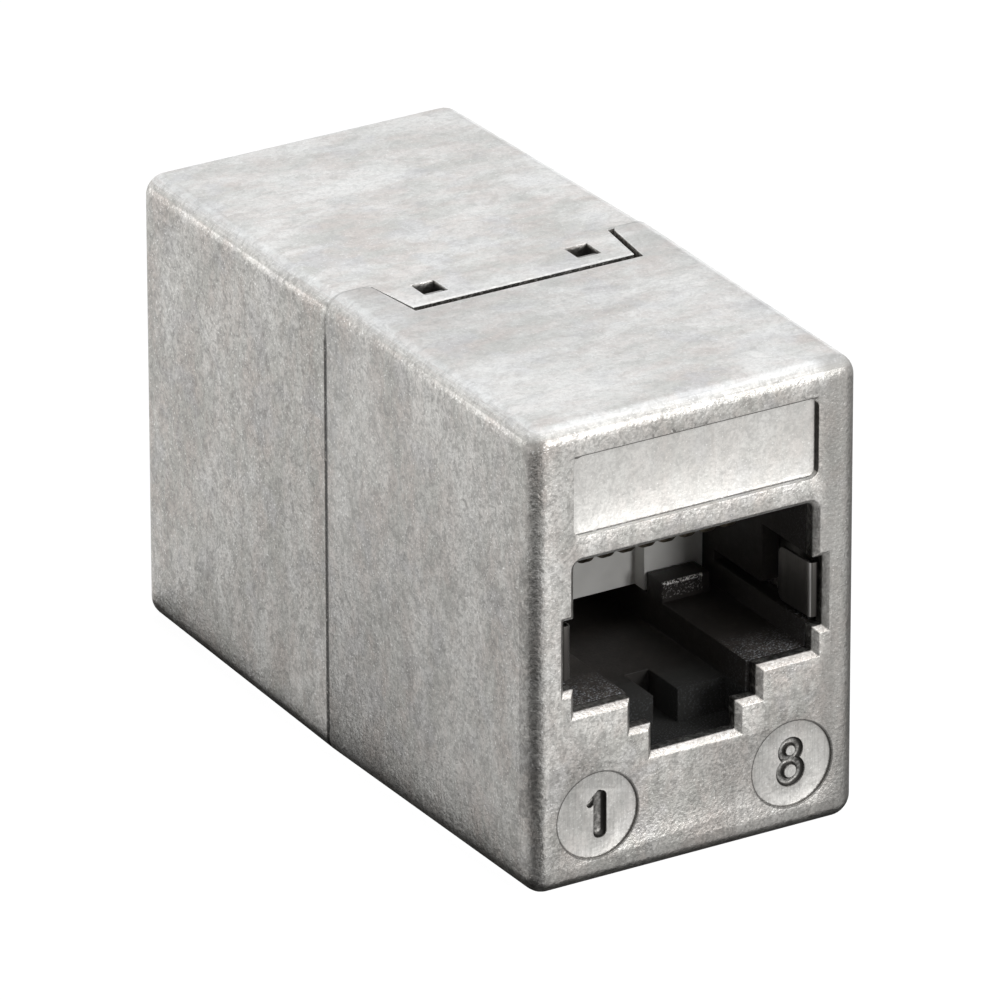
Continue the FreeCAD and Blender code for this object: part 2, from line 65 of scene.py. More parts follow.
class Socket:
    """The output of a shader node, with which sums are written as expressions."""

    def __init__(self, nodes, link):
        self.nodes = nodes
        self.link = link

    def with_(self, operation, *terms):
        """A Math node of this value and the others."""
        return self.nodes.node("ShaderNodeMath", {"operation": operation},
                               dict(enumerate((self, *terms))))

    def __add__(self, other):
        return self.with_("ADD", other)

    def __sub__(self, other):
        return self.with_("SUBTRACT", other)

    def __rsub__(self, other):
        return self.with_("MULTIPLY_ADD", -1.0, other)

    def __mul__(self, other):
        return self.with_("MULTIPLY", other)

    def __abs__(self):
        return self.with_("ABSOLUTE")

    def high(self, other):
        """The larger of the two."""
        return self.with_("MAXIMUM", other)

    def low(self, other):
        """The smaller of the two."""
        return self.with_("MINIMUM", other)

    def ramp(self, start, end):
        """0 at start and 1 at end, eased; start may be the larger of the two."""
        return self.nodes.node("ShaderNodeMapRange", {"interpolation_type": "SMOOTHSTEP"},
                               {"Value": self, "From Min": start, "From Max": end})

    def within(self, lowest, highest, soft):
        """1 between the two values, and 0 from a soft step outside them."""
        return self.ramp(lowest - soft, lowest) * self.ramp(highest + soft, highest)

    __radd__ = __add__
    __rmul__ = __mul__


class Nodes:
    """The nodes of a material or of the world, emptied and then added one by one."""

    def __init__(self, owner):
        owner.use_nodes = True
        self.tree = owner.node_tree
        self.tree.nodes.clear()

    def node(self, kind, settings=None, inputs=None, output=None):
        """Adds a node. Its first open output comes back, or the one that is named."""
        made = self.tree.nodes.new(kind)
        for name, value in (settings or {}).items():
            setattr(made, name, value)
        for key, value in (inputs or {}).items():
            if isinstance(key, str):
                socket = next(item for item in made.inputs if item.enabled and item.name == key)
            else:
                socket = made.inputs[key]
            if isinstance(value, Socket):
                self.tree.links.new(value.link, socket)
            else:
                socket.default_value = value
        found = [item for item in made.outputs if item.enabled and output in (None, item.name)]
        return Socket(self, found[0]) if found else None


class Paint(Nodes):
    """A material that follows the piece's own place, in millimetres, and the way its faces point."""

    def __init__(self, name):
        self.material = bpy.data.materials.new(name)
        super().__init__(self.material)
        metres = self.node("ShaderNodeTexCoord", output="Object")
        self.place = self.node("ShaderNodeVectorMath", {"operation": "SCALE"},
                               {0: metres, "Scale": 1 / MM})
        self.x, self.y, self.z = (self.part(self.place, axis) for axis in "XYZ")
        facing = self.node("ShaderNodeTexCoord", output="Normal")
        self.facing_x, self.facing_y, self.facing_z = (self.part(facing, axis) for axis in "XYZ")

    def part(self, vector, axis):
        """One axis of a vector."""
        return self.node("ShaderNodeSeparateXYZ", None, {0: vector}, axis)

    def blend(self, share, first, second):
        """One colour over another, by a share from 0 to 1."""
        return self.node("ShaderNodeMix", {"data_type": "RGBA"},
                         {"Factor": share, "A": first, "B": second})

    def mix(self, share, first, second):
        """One number towards another, by a share from 0 to 1."""
        return self.node("ShaderNodeMix", {"data_type": "FLOAT"},
                         {"Factor": share, "A": first, "B": second})

    def stretched(self, across, along, up):
        """The place, squeezed on each axis, so that a pattern on it is drawn out."""
        return self.node("ShaderNodeVectorMath", {"operation": "MULTIPLY"},
                         {0: self.place, 1: (across, along, up)})

    def noise(self, size, detail=2.0, roughness=0.5, distortion=0.0, place=None):
        """Cloudy pattern from 0 to 1, with spots of about the given size in millimetres."""
        return self.node("ShaderNodeTexNoise", {"normalize": True},
                         {"Vector": place or self.place, "Scale": 1 / size, "Detail": detail,
                          "Roughness": roughness, "Distortion": distortion}, "Fac")

    def bump(self, height, strength, depth, below=None):
        """Relief of a pattern from 0 to 1, of the given depth in millimetres."""
        inputs = {"Height": height, "Strength": strength, "Distance": depth * MM}
        if below:
            inputs["Normal"] = below
        return self.node("ShaderNodeBump", None, inputs)

    def finish(self, **sockets):
        """Ends the material in one surface shader."""
        surface = self.node("ShaderNodeBsdfPrincipled", None,
                            {name.replace("_", " "): value for name, value in sockets.items()})
        self.node("ShaderNodeOutputMaterial", None, {"Surface": surface})
        return self.material


def mm_box(node):
    """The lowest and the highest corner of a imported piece, in millimetres."""
    return tuple(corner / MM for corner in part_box(node))


FACE_Y = mm_box("front_shell")[0].y
ROOF_Z = mm_box("front_shell")[1].z
SEAM_Y = 0.2
SEAM_CLEAN_HALF_WIDTH = 5.9
ROUNDED_EDGE_Z = 19.6
FOOT_Z = 1.7
OPENING_HALF_WIDTH, OPENING_BOTTOM, OPENING_TOP = 6.6, 5.4, 15.6
CHAMFER = 0.26
JAMB_BOTTOM, JAMB_TOP = 3.9, 15.4
HIGHEST_SILL = 14.5
REVEAL = 1.0
PLATE_HALF_WIDTH, PLATE_HALF_HEIGHT, PLATE_MIDDLE, PLATE_DEPTH = 6.075, 1.85, 18.45, 0.3
DISC_X, DISC_Z, DISC_RADIUS, DISC_DEPTH = 4.875, 3.38, 2.0, 0.14
NUMERAL_REACH = 1.6
# Where painted shade at the face's right edge begins and is full.
RIGHT_SHADE_FROM, RIGHT_SHADE_TO = 5.9, 6.7
NOTCH_FRONT, NOTCH_BACK, NOTCH_HALF_WIDTH, NOTCH_DEPTH = -4.5, -0.1, 6.8, 1.3
WINDOW_INNER, WINDOW_OUTER, WINDOW_FRONT, WINDOW_BACK = 3.27, 4.43, -2.2, -0.5
WINDOW_DEPTH = 1.0

ZINC_COOL = (0.480, 0.472, 0.443, 1)
ZINC_PINK = (0.515, 0.475, 0.443, 1)
ZINC_BLUE = (0.478, 0.47, 0.468, 1)
ZINC_PALE = (0.70, 0.69, 0.665, 1)
ZINC_DARK = (0.20, 0.194, 0.184, 1)
ZINC_METALLIC = 0.85
GLINT = (0.93, 0.93, 0.91, 1)
# Painted light: a multiplier above one that makes faces which point up lighter and a little bluer.
TOP_FACE_PAINTED_LIGHT = (1.17, 1.195, 1.235, 1)
# Colour of the painted shade on floors inside the opening.
SILL_SHADE = (0.30, 0.275, 0.255, 1)
# Near-black for grime and for painted shade.
DARK_DIRT_AND_SHADE = (0.045, 0.043, 0.040, 1)


def seam_dirt_and_recess_darkening(paint, patches, grain):
    """Share of darkening: grime in the seam, painted shade inside the opening behind its chamfer, and
    darker down the windows' walls.
    """
    seam = abs(paint.y - SEAM_Y).ramp(0.17, 0.10) * grain.ramp(0.9, 0.5)
    seam = seam * abs(paint.x).ramp(SEAM_CLEAN_HALF_WIDTH, SEAM_CLEAN_HALF_WIDTH + 0.2)
    seam = seam * (paint.z.ramp(ROUNDED_EDGE_Z + 0.7, ROUNDED_EDGE_Z) * 0.7 + 0.2)
    # Painted shade: inside the opening, behind its chamfer, the zinc is darkened in patches.
    chamfer_y = -FACE_Y - CHAMFER
    inner = abs(paint.y).ramp(chamfer_y + 0.02, chamfer_y - 0.08)
    inner = inner * abs(paint.x).ramp(OPENING_HALF_WIDTH + 0.1, OPENING_HALF_WIDTH)
    inner = inner * paint.z.within(OPENING_BOTTOM, OPENING_TOP, 0.1)
    window = abs(paint.x).within(WINDOW_INNER, WINDOW_OUTER, 0.03)
    window = window * paint.y.within(WINDOW_FRONT, WINDOW_BACK, 0.03)
    window = window * paint.z.ramp(ROOF_Z - 0.14, ROOF_Z - 0.3)
    window = window * abs(paint.z - ROOF_Z).ramp(WINDOW_DEPTH + 0.1, WINDOW_DEPTH)
    return seam.high(inner * patches.ramp(0.75, 0.4) * 0.85).high(window * 0.8)


def cast_zinc(name, marks):
    """Bare die-cast zinc: cloudy flow marks in faint tints, a sandy grain with painted glints, painted
    light on faces that point up, painted highlights and shade on its edges, and grime and painted shade
    in its lines.
    """
    paint = Paint(name)
    upward = abs(paint.facing_z).ramp(0.5, 0.9)
    rough = paint.mix(upward, 1.0, 0.4)
    flow = paint.node("ShaderNodeMix", {"data_type": "VECTOR"},
                      {"Factor": upward, "A": paint.stretched(1, 1, 0.5),
                       "B": paint.stretched(0.5, 1, 1)})
    banks = paint.noise(3.4, 3, 0.55, 0.5, flow)
    clouds = paint.noise(1.3, 4, 0.7, 0.8, flow)
    tints = paint.noise(1.1, 3, 0.6, 0.4, flow)
    blue = paint.noise(1.9, 2, 0.5, 0.3)
    patches = paint.noise(0.42, 4, 0.75, 1.0)
    streaks = paint.noise(0.9, 4, 0.65, 1.6, flow)
    grain = paint.noise(0.15, 2, 0.6)
    glint_specks = paint.noise(0.10, 1, 0.5)
    colour = paint.blend(tints.ramp(0.36, 0.64), ZINC_COOL, ZINC_PINK)
    colour = paint.blend(blue.ramp(0.52, 0.7) * 0.7, colour, ZINC_BLUE)
    colour = paint.blend((banks * 0.6 + clouds * 0.4).ramp(0.38, 0.64) * 0.75, colour, ZINC_PALE)
    colour = paint.blend(patches.ramp(0.60, 0.32) * rough * 0.58, colour, ZINC_DARK)
    colour = paint.blend(streaks.ramp(0.52, 0.32) * rough * 0.35, colour, ZINC_DARK)
    colour = paint.blend(grain.ramp(0.56, 0.3) * rough * 0.42, colour, ZINC_DARK)
    # Painted glints: sparse small spots blended almost to white.
    colour = paint.blend(glint_specks.ramp(0.62, 0.75) * rough * 0.6, colour, GLINT)
    # Painted highlight, with some wear: the rounded edges along the top are blended towards near-white
    # in patches, and made rougher.
    top_edge_wear_and_highlight = paint.facing_z.within(0.5, 0.93, 0.06) * paint.z.ramp(ROOF_Z - 3, ROOF_Z - 2)
    colour = paint.blend(top_edge_wear_and_highlight * (patches * 0.4 + 0.05), colour, GLINT)
    # Painted shade: the rounded vertical edges and the bottom of the housing are blended towards dark
    # zinc.
    corner = (abs(paint.facing_x) * abs(paint.facing_y)).ramp(0.15, 0.48)
    foot = paint.z.ramp(FOOT_Z, 0.5)
    colour = paint.blend((corner * 0.2).high(foot * 0.3), colour, ZINC_DARK)
    # Painted light: faces that point up are multiplied lighter and a little bluer.
    colour = paint.node("ShaderNodeMix", {"data_type": "RGBA", "blend_type": "MULTIPLY"},
                        {"Factor": upward, "A": colour, "B": TOP_FACE_PAINTED_LIGHT})
    colour, even = marks(paint, colour, patches, grain)
    # Grime in the seam, painted shade inside the opening, and darker window walls.
    colour = paint.blend(seam_dirt_and_recess_darkening(paint, patches, grain), colour, DARK_DIRT_AND_SHADE)
    relief = paint.bump(paint.noise(0.16, 2, 0.55), rough * even * 0.55, 0.05)
    relief = paint.bump(paint.noise(0.8, 3, 0.55), 0.2, 0.06, relief)
    return paint.finish(Base_Color=colour, Metallic=ZINC_METALLIC,
                        Roughness=top_edge_wear_and_highlight * 0.3 + grain * 0.24 + 0.28, Normal=relief)


def front_marks(paint, colour, patches, grain):
    """The smoother plate field and discs, painted shade at the right edge and inside the opening, and
    dark lines, painted shadow, painted shade and grime round the plate, the discs and the notch and in
    the numbers.
    """
    depth = paint.y - FACE_Y
    edge_x = PLATE_HALF_WIDTH - abs(paint.x)
    edge_z = PLATE_HALF_HEIGHT - abs(paint.z - PLATE_MIDDLE)
    plate_edge = edge_x.low(edge_z)
    disc_x = abs(paint.x) - DISC_X
    disc_z = paint.z - DISC_Z
    from_disc = (disc_x * disc_x + disc_z * disc_z).with_("SQRT")
    on_disc = from_disc.ramp(DISC_RADIUS, DISC_RADIUS - 0.1)
    sunk = depth.ramp(DISC_DEPTH * 0.4, DISC_DEPTH * 0.8)
    smooth = plate_edge.ramp(0.0, 0.1).high(on_disc) * sunk
    tool_lines = paint.noise(0.09, 2, 0.6, 0, paint.stretched(1, 1, 0.04))

    # Painted shade: the face towards its right edge is darkened in patches.
    right_edge_shade = paint.x.ramp(RIGHT_SHADE_FROM, RIGHT_SHADE_TO) * patches.ramp(0.2, 0.6) * depth.ramp(0.9, 0.6)
    colour = paint.blend(right_edge_shade * 0.55, colour, ZINC_DARK)
    colour = paint.blend(smooth * (tool_lines * 0.2 + 0.34), colour, ZINC_PALE)
    colour = paint.blend(tool_lines.ramp(0.55, 0.35) * on_disc * sunk * 0.15, colour, ZINC_DARK)

    reveal = depth.within(0.02, REVEAL, 0.02)
    # Painted shade: floors that face up inside the opening's reveal are made darker, up to the highest
    # of them.
    shaded_sill = paint.facing_z.within(0.4, 0.95, 0.05) * reveal
    shaded_sill = shaded_sill * paint.z.ramp(HIGHEST_SILL + 0.5, HIGHEST_SILL)
    colour = paint.blend(shaded_sill * (grain.ramp(0.7, 0.3) * 0.5 + 0.25), colour, SILL_SHADE)
    # Painted shade: the side walls of the reveal are darkened in patches.
    jamb_shade = abs(paint.facing_x).ramp(0.4, 0.6) * reveal * paint.z.within(JAMB_BOTTOM, JAMB_TOP, 0.1)
    colour = paint.blend(jamb_shade * patches.ramp(0.75, 0.35) * 0.7, colour, ZINC_DARK)

    over_plate = paint.z - PLATE_MIDDLE - PLATE_HALF_HEIGHT
    beside_plate = abs(paint.x).ramp(6.1, 6.0)
    # Painted shadow: a thin dark line along the plate's top edge; just above it, a patchy dark band.
    lip = over_plate.within(-0.03, 0.05, 0.02) * beside_plate
    band_over_plate = over_plate.within(0.0, 0.16, 0.12) * beside_plate
    line = abs(from_disc - DISC_RADIUS - 0.02).ramp(0.08, 0.03) * patches.ramp(0.28, 0.42) * 0.7
    line = line.high(lip * patches.ramp(0.32, 0.45) * 0.8)
    line = line.high(band_over_plate * patches.ramp(0.42, 0.33) * 0.55)
    foot = (PLATE_MIDDLE - paint.z).within(1.6, 2.1, 0.05)
    rim = abs(plate_edge).ramp(0.06, 0.02) * patches.ramp(0.30, 0.50)
    rim = rim * paint.mix(foot, depth.ramp(0.0, 0.06), depth.ramp(0.2, 0.27))
    right_wall = abs(paint.x - PLATE_HALF_WIDTH).ramp(0.07, 0.04) * edge_z.ramp(0.05, 0.2)
    right_wall = right_wall * depth.ramp(0.01, 0.04) * depth.ramp(PLATE_DEPTH + 0.1, PLATE_DEPTH + 0.02)
    # Grime and painted shade in the numerals: their walls dark, their floors dark where the grain is.
    cut = depth.ramp(DISC_DEPTH + 0.015, DISC_DEPTH + 0.08)
    cut = cut * from_disc.ramp(NUMERAL_REACH + 0.1, NUMERAL_REACH)
    cut = cut * paint.mix(abs(paint.facing_y).ramp(0.8, 0.95), 1.0, grain.ramp(1.1, 0.2) * 0.9)
    notch = (1.0 - abs(paint.facing_z)).ramp(0.3, 0.6) * grain.ramp(1.0, 0.3)
    notch = notch * paint.z.within(ROOF_Z - NOTCH_DEPTH, ROOF_Z - 0.04, 0.03)
    notch = notch * paint.y.within(NOTCH_FRONT, NOTCH_BACK, 0.1)
    notch = notch * abs(paint.x).ramp(NOTCH_HALF_WIDTH + 0.2, NOTCH_HALF_WIDTH)
    # Painted shadow, painted shade and grime, together with the dark lines round the plate, the discs,
    # the plate's right wall and the notch walls.
    dirt_and_shade = (rim * 0.75).high(line).high(notch * 0.85).high(cut).high(right_wall * 0.9)
    return paint.blend(dirt_and_shade, colour, DARK_DIRT_AND_SHADE), 1.0 - smooth * 0.8


def dressed_copy(node, name, material, broken_edge):
    """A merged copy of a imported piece, with its edges broken, which stands for that piece."""
    bpy.ops.object.select_all(action="DESELECT")
    piece = bpy.data.objects.new(name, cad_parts[node].data.copy())
    bpy.context.scene.collection.objects.link(piece)
    bpy.context.view_layer.objects.active = piece
    piece.select_set(True)
    bpy.ops.object.mode_set(mode="EDIT")
    bpy.ops.mesh.select_all(action="SELECT")
    bpy.ops.mesh.customdata_custom_splitnormals_clear()
    bpy.ops.mesh.remove_doubles(threshold=0.002 * MM)
    bpy.ops.mesh.dissolve_limited(angle_limit=radians(1))
    bpy.ops.object.mode_set(mode="OBJECT")
    if broken_edge:
        bevel = piece.modifiers.new("broken_edges", "BEVEL")
        bevel.width = broken_edge * MM
        bevel.segments = 2
        bevel.angle_limit = radians(40)
        bevel.use_clamp_overlap = False
        bpy.ops.object.modifier_apply(modifier=bevel.name)
    piece.data.materials.clear()
    piece.data.materials.append(material)
    bpy.ops.object.shade_smooth_by_angle(angle=radians(35))
    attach(piece, "root")
    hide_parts(node)
    return piece


def cut_away(piece, tool):
    """Takes the tool's volume out of the piece, and the tool out of the scene."""
    bpy.ops.object.select_all(action="DESELECT")
    bpy.context.view_layer.objects.active = piece
    piece.select_set(True)
    cut = piece.modifiers.new("cut", "BOOLEAN")
    cut.operation = "DIFFERENCE"
    cut.solver = "MANIFOLD"
    cut.object = tool
    bpy.ops.object.modifier_apply(modifier=cut.name)
    bpy.data.objects.remove(tool)


def onto_disc(across, up):
    """Moves what is selected from the origin to the floor of a disc."""
    bpy.ops.transform.translate(value=(across * MM, (FACE_Y + DISC_DEPTH) * MM, up * MM))
    bpy.ops.object.mode_set(mode="OBJECT")


def numeral_bar(across, up, width, height, turn, depth):
    """Tool for a straight stroke, round at its ends and its bottom, sunk in the disc."""
    bpy.ops.mesh.primitive_cube_add(size=1)
    tool = bpy.context.object
    bpy.ops.object.mode_set(mode="EDIT")
    bpy.ops.mesh.select_all(action="SELECT")
    bpy.ops.transform.resize(value=(width * MM, 2 * depth * MM, height * MM))
    bpy.ops.mesh.bevel(offset=0.94 * min(width / 2, height / 2, depth) * MM, segments=6)
    bpy.ops.transform.rotate(value=radians(turn), orient_axis="Y", center_override=(0, 0, 0))
    onto_disc(across, up)
    return tool


def numeral_ring(across, up, radius, stroke):
    """Tool for a round stroke, a half-round groove in the disc."""
    bpy.ops.mesh.primitive_torus_add(major_segments=40, minor_segments=12,
                                     major_radius=radius * MM, minor_radius=stroke * MM)
    tool = bpy.context.object
    bpy.ops.object.mode_set(mode="EDIT")
    bpy.ops.mesh.select_all(action="SELECT")
    bpy.ops.transform.rotate(value=radians(90), orient_axis="X", center_override=(0, 0, 0))
    onto_disc(across, up)
    return tool


front_housing = dressed_copy("front_shell", "front_housing",
                             cast_zinc("cast_zinc_front", front_marks), 0.04)
cut_away(front_housing, numeral_bar(0.19 - DISC_X, DISC_Z - 0.04, 0.66, 2.23, 0, 0.31))
cut_away(front_housing, numeral_bar(-0.08 - DISC_X, DISC_Z + 0.74, 0.34, 0.95, -48, 0.22))
cut_away(front_housing, numeral_ring(DISC_X, DISC_Z - 0.40, 0.51, 0.22))
cut_away(front_housing, numeral_ring(DISC_X, DISC_Z + 0.58, 0.43, 0.21))
bpy.ops.object.shade_smooth_by_angle(angle=radians(35))


# Rear half of the housing, of the same casting, without numbers. Its tongues snap over the front
# half, and the end of the upper one is set back by wear, which leaves a slit with grime and painted
# shade before a lip with a painted highlight.
TIP_WEAR = 0.32
TONGUE_END = mm_box("rear_shell")[0].y + TIP_WEAR
LIP_FROM_Z = 20.0


def rear_marks(paint, colour, patches, grain):
    """Grime and painted shade in the slit at the end of the tongue, and a painted highlight on the lip
    behind it.
    """
    # Painted highlight: the lip behind the tongue's end is blended towards near-white in patches.
    lip = paint.facing_z.ramp(0.8, 0.95) * (paint.y - TONGUE_END).within(0.0, 0.16, 0.04)
    lip = lip * paint.z.ramp(LIP_FROM_Z, LIP_FROM_Z + 1)
    colour = paint.blend(lip * patches.ramp(0.6, 0.4) * 0.7, colour, GLINT)
    # Grime and painted shade: the forward-facing wall at the tongue's end is blended towards
    # near-black.
    slit = paint.facing_y.ramp(-0.5, -0.8) * abs(paint.y - TONGUE_END).ramp(0.2, 0.1)
    return paint.blend(slit * grain.ramp(0.9, 0.4) * 0.85, colour, DARK_DIRT_AND_SHADE), 1.0


rear_housing = dressed_copy("rear_shell", "rear_housing",
                            cast_zinc("cast_zinc_rear", rear_marks), 0.04)
bpy.ops.object.mode_set(mode="EDIT")
bpy.ops.mesh.select_all(action="DESELECT")
bpy.ops.object.mode_set(mode="OBJECT")
for face in rear_housing.data.polygons:
    corners = [rear_housing.data.vertices[index].co / MM for index in face.vertices]
    face.select = all(corner.y < TONGUE_END - TIP_WEAR / 2 and corner.z > ROOF_Z / 2
                      for corner in corners)
bpy.ops.object.mode_set(mode="EDIT")
bpy.ops.transform.translate(value=(0, TIP_WEAR * MM, 0))
bpy.ops.object.mode_set(mode="OBJECT")


# Moulded jack bodies, one behind each opening: black plastic, pushed in from the seam. Plugs
# rub the ledges beside the latch channel pale; the stops behind them carry a painted highlight at their
# crest, and the channel is painted into shade low down.
STOP_FRONT, STOP_TOP, STOP_INNER, STOP_OUTER = 9.2, 9.35, 3.0, 5.0
LEDGE_BACK, LEDGE_MOUTH = 13.0, 16.0
CHANNEL_BACK, CHANNEL_MOUTH = 11.0, 13.5
CHANNEL_TOP = 7.3

BLACK_CLEAN = (0.022, 0.019, 0.017, 1)
BLACK_DUSTY = (0.055, 0.047, 0.041, 1)
# Colour of the painted shade low in the latch channel.
BLACK_SHADE = (0.012, 0.012, 0.011, 1)
BLACK_RUBBED = (0.12, 0.105, 0.09, 1)
FLECK = (0.46, 0.48, 0.52, 1)
# Near-white for the painted highlight on the stops.
CREST_HIGHLIGHT = (0.95, 0.93, 0.90, 1)


def black_moulding():
    """Fine-grained black plastic, dusty, with bright flecks where plugs rub it, a painted highlight on
    the stops' crests and painted shade low in the channel.
    """
    paint = Paint("black_moulding")
    grain = paint.noise(0.12, 3, 0.6)
    dust = paint.noise(0.45, 4, 0.7)
    flecks = paint.noise(0.09, 2, 0.6)
    colour = paint.blend(dust.ramp(0.45, 0.8) * 0.5, BLACK_CLEAN, BLACK_DUSTY)
    # Painted shade: low in the latch channel, near the mouth, the plastic is made almost black, and
    # rough.
    shaded_channel = paint.z.ramp(CHANNEL_TOP, 6.9) * abs(paint.y).ramp(CHANNEL_BACK, CHANNEL_MOUTH)
    colour = paint.blend(shaded_channel, colour, BLACK_SHADE)
    near_mouth = abs(paint.y).ramp(LEDGE_BACK, LEDGE_MOUTH)
    ledge = near_mouth * paint.facing_z.ramp(0.3, 0.8) * paint.z.ramp(7.0, CHANNEL_TOP)
    colour = paint.blend(ledge * dust.ramp(0.3, 0.7) * 0.5, colour, BLACK_RUBBED)
    colour = paint.blend(flecks.ramp(0.52, 0.66) * ledge.high(near_mouth * 0.2) * 0.75, colour, FLECK)
    stop = abs(abs(paint.y) - STOP_FRONT).ramp(0.12, 0.04)
    stop = stop * abs(paint.x).within(STOP_INNER, STOP_OUTER, 0.05)
    # Painted highlight: near-white spots along the crest of each stop, and fewer on its face below.
    crest = stop * paint.z.within(STOP_TOP - 0.12, STOP_TOP + 0.1, 0.06) * flecks.ramp(0.42, 0.58)
    below = stop * paint.z.within(STOP_TOP - 0.7, STOP_TOP, 0.1) * flecks.ramp(0.52, 0.68) * 0.3
    colour = paint.blend(crest.high(below), colour, CREST_HIGHLIGHT)
    dull_front = abs(paint.facing_y).ramp(0.5, 0.9)
    return paint.finish(Base_Color=colour, Roughness=(grain * 0.3 + 0.36).high(shaded_channel).high(dull_front),
                        Normal=paint.bump(grain, 0.4, 0.02))


black = black_moulding()
for end in ("front", "rear"):
    dressed_copy(end + "_jack_body", end + "_jack_moulding", black, 0.06)


# Contact inserts: white plastic that closes each plug cavity at the back and holds the
# contacts in grooves. They slide into the jack bodies before the halves are snapped together.
WHITE_DULL = (0.80, 0.79, 0.76, 1)
WHITE_CLEAN = (0.88, 0.87, 0.84, 1)


def white_moulding():
    """Plain white plastic with a faint cloud."""
    paint = Paint("white_moulding")
    cloud = paint.noise(1.5, 3, 0.5)
    colour = paint.blend(cloud.ramp(0.3, 0.7), WHITE_DULL, WHITE_CLEAN)
    return paint.finish(Base_Color=colour, Roughness=cloud * 0.2 + 0.35,
                        Normal=paint.bump(cloud, 0.2, 0.02))


white = white_moulding()
for end in ("front", "rear"):
    dressed_copy(end + "_contact_carrier", end + "_contact_insert", white, 0.04)


# Spring contacts: eight flat wires at each end, plated with gold over nickel. Each is bent back
# over its insert and soldered to the board above the jack.
# Painted shade: both golds are kept dark, as if the contacts lay in the shade of the cavity.
SHADED_GOLD = (0.21, 0.175, 0.125, 1)
SHADED_GOLD_WORN = (0.14, 0.118, 0.088, 1)


def gold_plate():
    """Thin gold, darkened all over as painted shade, and darker still where it wears."""
    paint = Paint("gold_plate")
    wear = paint.noise(0.3, 3, 0.6)
    colour = paint.blend(wear.ramp(0.4, 0.8), SHADED_GOLD, SHADED_GOLD_WORN)
    return paint.finish(Base_Color=colour, Metallic=1.0, Roughness=wear * 0.2 + 0.25)


gold = gold_plate()
for end in ("front", "rear"):
    for number in range(1, 9):
        dressed_copy("%s_contact_%d" % (end, number), "%s_spring_contact_%d" % (end, number),
                     gold, 0.03)


# Shield springs: a folded tinned strip in each side slot, which joins the plug's shield to the
# housing. The fold behind the face is painted into shade, with a painted highlight only along its inner
# edge.
FOLD_BACK = -FACE_Y - 0.75
FOLD_INNER = 6.02
TIN_DARK = (0.11, 0.105, 0.10, 1)
TIN_PALE = (0.20, 0.19, 0.18, 1)
TIN_FOLD_SHADE = (0.05, 0.047, 0.044, 1)
TIN_FOLD_HIGHLIGHT = (0.42, 0.41, 0.40, 1)


def tinned_strip():
    """Rolled tinned bronze, with lines along the strip, painted shade over the fold and a painted
    highlight along its inner edge.
    """
    paint = Paint("tinned_strip")
    lines = paint.noise(0.08, 2, 0.5, 0, paint.stretched(1, 1, 0.1))
    fold = abs(paint.y).ramp(FOLD_BACK, FOLD_BACK + 0.15)
    colour = paint.blend(lines, TIN_DARK, TIN_PALE)
    # Painted shade over the fold behind the face, and a painted highlight along its inner edge.
    colour = paint.blend(fold, colour, TIN_FOLD_SHADE)
    colour = paint.blend(fold * abs(paint.x).ramp(FOLD_INNER + 0.04, FOLD_INNER), colour, TIN_FOLD_HIGHLIGHT)
    return paint.finish(Base_Color=colour, Metallic=1.0, Roughness=lines * 0.2 + 0.35)


strip = tinned_strip()
for end in ("front", "rear"):
    for side in ("left", "right"):
        dressed_copy("%s_%s_shield_spring" % (end, side), "%s_%s_shield_strip" % (end, side),
                     strip, 0.02)


# Board above the jacks: glass fibre under green solder mask, which joins the contacts of one end
# to those of the other. It is out of sight, held between the jacks and the housing's roof.
MASK_DARK = (0.01, 0.10, 0.05, 1)
MASK_PALE = (0.02, 0.16, 0.08, 1)


def solder_mask():
    """Green mask, slightly cloudy."""
    paint = Paint("solder_mask")
    cloud = paint.noise(0.6, 3, 0.5)
    return paint.finish(Base_Color=paint.blend(cloud, MASK_DARK, MASK_PALE),
                        Roughness=cloud * 0.2 + 0.3)


dressed_copy("circuit_board", "joining_board", solder_mask(), 0)


# Studio: a pale floor that shows white, white air and soft lamps. The bare metal mirrors what
# stands about it, so dark and grey cards lie on the floor, which only reflections show.
WHITE = (1, 1, 1, 1)
FLOOR_TONE = (0.4, 0.4, 0.4, 1)
FLOOR_GLOW = 1.62
FLOOR_SHARE = 0.6
centre = (cad_box[0] + cad_box[1]) / 2


def any_seen(nodes):
    """1 for the rays that look at a thing, straight or by reflection; 0 for those that gather light."""
    seen, shiny, passing = (nodes.node("ShaderNodeLightPath", output=ray)
                            for ray in ("Is Camera Ray", "Is Glossy Ray", "Is Transmission Ray"))
    return seen.high(shiny).high(passing)


def soft_lamp(name, place, size, power):
    """A square lamp that faces the middle of the object."""
    bpy.ops.object.light_add(type="AREA", location=Vector(place) + centre)
    lamp = bpy.context.object
    lamp.name = name
    lamp.data.size = size
    lamp.data.energy = power
    lamp.rotation_euler = (-Vector(place)).to_track_quat("-Z", "Y").to_euler()


def floor_card(name, corners, glow=0.0):
    """A dark card on the floor, or a grey one by its glow; its corners are in millimetres."""
    mesh = bpy.data.meshes.new(name)
    mesh.from_pydata([(x * MM, y * MM, z * MM) for x, y, z in corners], [],
                     [tuple(range(len(corners)))])
    card = bpy.data.objects.new(name, mesh)
    bpy.context.scene.collection.objects.link(card)
    material = bpy.data.materials.new(name)
    nodes = Nodes(material)
    shine = nodes.node("ShaderNodeEmission", None, {"Color": WHITE, "Strength": glow})
    nodes.node("ShaderNodeOutputMaterial", None, {"Surface": shine})
    mesh.materials.append(material)
    card.visible_camera = card.visible_shadow = card.visible_diffuse = False


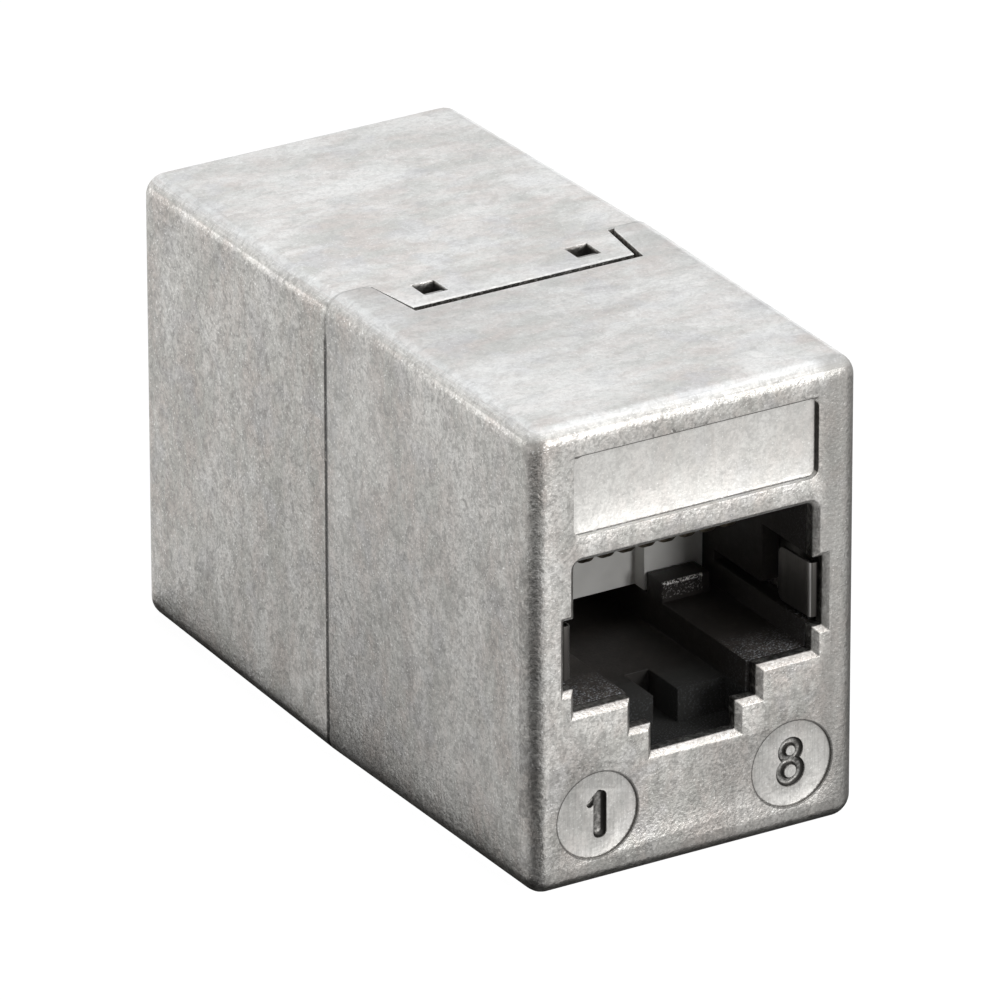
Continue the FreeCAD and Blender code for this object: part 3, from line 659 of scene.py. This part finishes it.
bpy.ops.object.select_all(action="DESELECT")
bpy.ops.mesh.primitive_plane_add(size=3)
floor = bpy.context.object
floor.name = "studio_floor"
floor_paint = bpy.data.materials.new("studio_floor")
floor_nodes = Nodes(floor_paint)
matt = floor_nodes.node("ShaderNodeBsdfDiffuse", None, {"Color": FLOOR_TONE})
glow = floor_nodes.node("ShaderNodeEmission", None, {"Color": WHITE, "Strength": FLOOR_GLOW})
mixed = floor_nodes.node("ShaderNodeMixShader", None,
                         {0: any_seen(floor_nodes) * FLOOR_SHARE, 1: matt, 2: glow})
floor_nodes.node("ShaderNodeOutputMaterial", None, {"Surface": mixed})
floor.data.materials.append(floor_paint)

world = bpy.data.worlds.new("studio_air")
bpy.context.scene.world = world
air = Nodes(world)
white_air = air.node("ShaderNodeBackground", None, {"Color": WHITE, "Strength": any_seen(air)})
air.node("ShaderNodeOutputWorld", None, {"Surface": white_air})

soft_lamp("front_lamp", (0.11, -0.45, 0.06), 0.11, 0.55)
soft_lamp("front_right_lamp", (0.25, -0.33, 0.24), 0.20, 0.85)
soft_lamp("left_back_lamp", (-0.32, 0.30, 0.10), 0.25, 0.38)
soft_lamp("back_lamp", (0.18, 0.32, 0.28), 0.25, 0.075)
soft_lamp("overhead_lamp", (0.05, -0.08, 0.42), 0.40, 0.52)
floor_card("corner_card", [(-8.4, -16.9, 0.3), (-70, -19, 0.3), (-60, -85, 0.3), (-20, -80, 0.3),
                           (-7.0, -17.5, 0.3)], 0.05)
floor_card("base_card", [(-9.6, -17.1, 0.2), (9, -17.1, 0.2), (9, 18, 0.2), (-9.6, 18, 0.2)])
floor_card("right_card", [(8.6, -17.5, 0.3), (60, -45, 0.3), (80, 60, 0.3), (8.6, 17, 0.3)], 0.2)
floor_card("left_card", [(-9.6, -20, 0.1), (-9.6, 19, 0.1), (-30, 24, 0.1), (-30, -20, 0.1)], 0.76)
floor_card("front_card", [(-7, -17.6, 0.1), (12, -17.6, 0.1), (15, -21.5, 0.1), (-5, -21.5, 0.1)],
           0.45)


# Camera: where the photograph was taken from, worked out from the housing's corners. It stands
# half a metre away and looks down on the left front edge.
EYE = Vector((-259.082, -433.440, 240.768)) * MM
AIM = Vector((0.478, 0.2, 10.214)) * MM
ROLL = -0.0018
LENS = 459.48
SENSOR_WIDTH = 36
NEAR, FAR = 0.01, 10

bpy.ops.object.camera_add(location=EYE)
camera = bpy.context.object
camera.rotation_mode = "QUATERNION"
level = (AIM - EYE).to_track_quat("-Z", "Y")
camera.rotation_quaternion = level @ Matrix.Rotation(ROLL, 3, "Z").to_quaternion()
camera.data.lens = LENS
camera.data.sensor_width = SENSOR_WIDTH
camera.data.clip_start = NEAR
camera.data.clip_end = FAR
bpy.context.scene.camera = camera
bpy.context.scene.view_settings.view_transform = "Standard"
